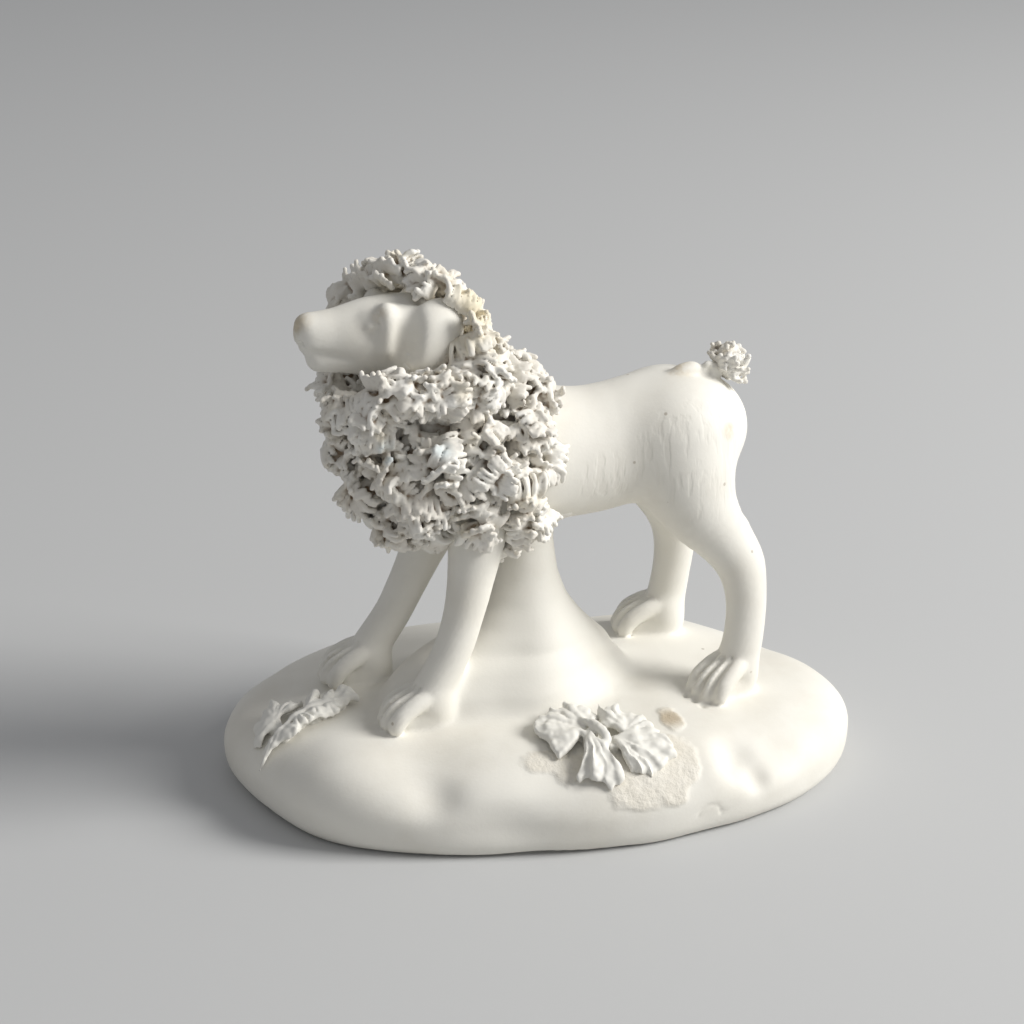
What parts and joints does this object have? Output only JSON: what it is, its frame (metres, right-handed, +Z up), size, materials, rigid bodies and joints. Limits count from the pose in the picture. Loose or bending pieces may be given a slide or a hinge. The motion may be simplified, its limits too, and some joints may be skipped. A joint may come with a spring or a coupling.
{
  "type": "ceramic dog figurine",
  "caption": "Unglazed porcelain lion-clipped dog standing on a lumpy oval mound, with a ruff of shredded clay, a belly stump and applied leaf sprays.",
  "frame": {"origin": "centre of the underside of the base", "axes": "+Z up, X along the length of the base with the dog facing -X, its left side toward -Y"},
  "size_m": [0.0808, 0.0534, 0.0683],
  "materials": {
    "bisque_base": "matte",
    "bisque_floor": "matte",
    "bisque_body": "matte",
    "shredded_clay": "matte",
    "leaf_clay": "matte"
  },
  "bodies": {
    "root": {"base_mound": "bisque_base", "base_floor": "bisque_floor", "stump": "bisque_base", "torso": "bisque_body", "head": "bisque_body", "ear_left": "bisque_body", "ear_right": "bisque_body", "fore_leg_left": "bisque_body", "fore_leg_right": "bisque_body", "hind_leg_left": "bisque_body", "hind_leg_right": "bisque_body", "tail": "bisque_body", "tail_tuft": "shredded_clay", "crest_left": "shredded_clay", "crest_right": "shredded_clay", "cheek_left": "shredded_clay", "cheek_right": "shredded_clay", "nape_left": "shredded_clay", "nape_right": "shredded_clay", "chest_left": "shredded_clay", "chest_right": "shredded_clay", "shoulder_left": "shredded_clay", "shoulder_right": "shredded_clay", "leaf_side": "leaf_clay", "leaf_front": "leaf_clay"}
  },
  "joints": []
}
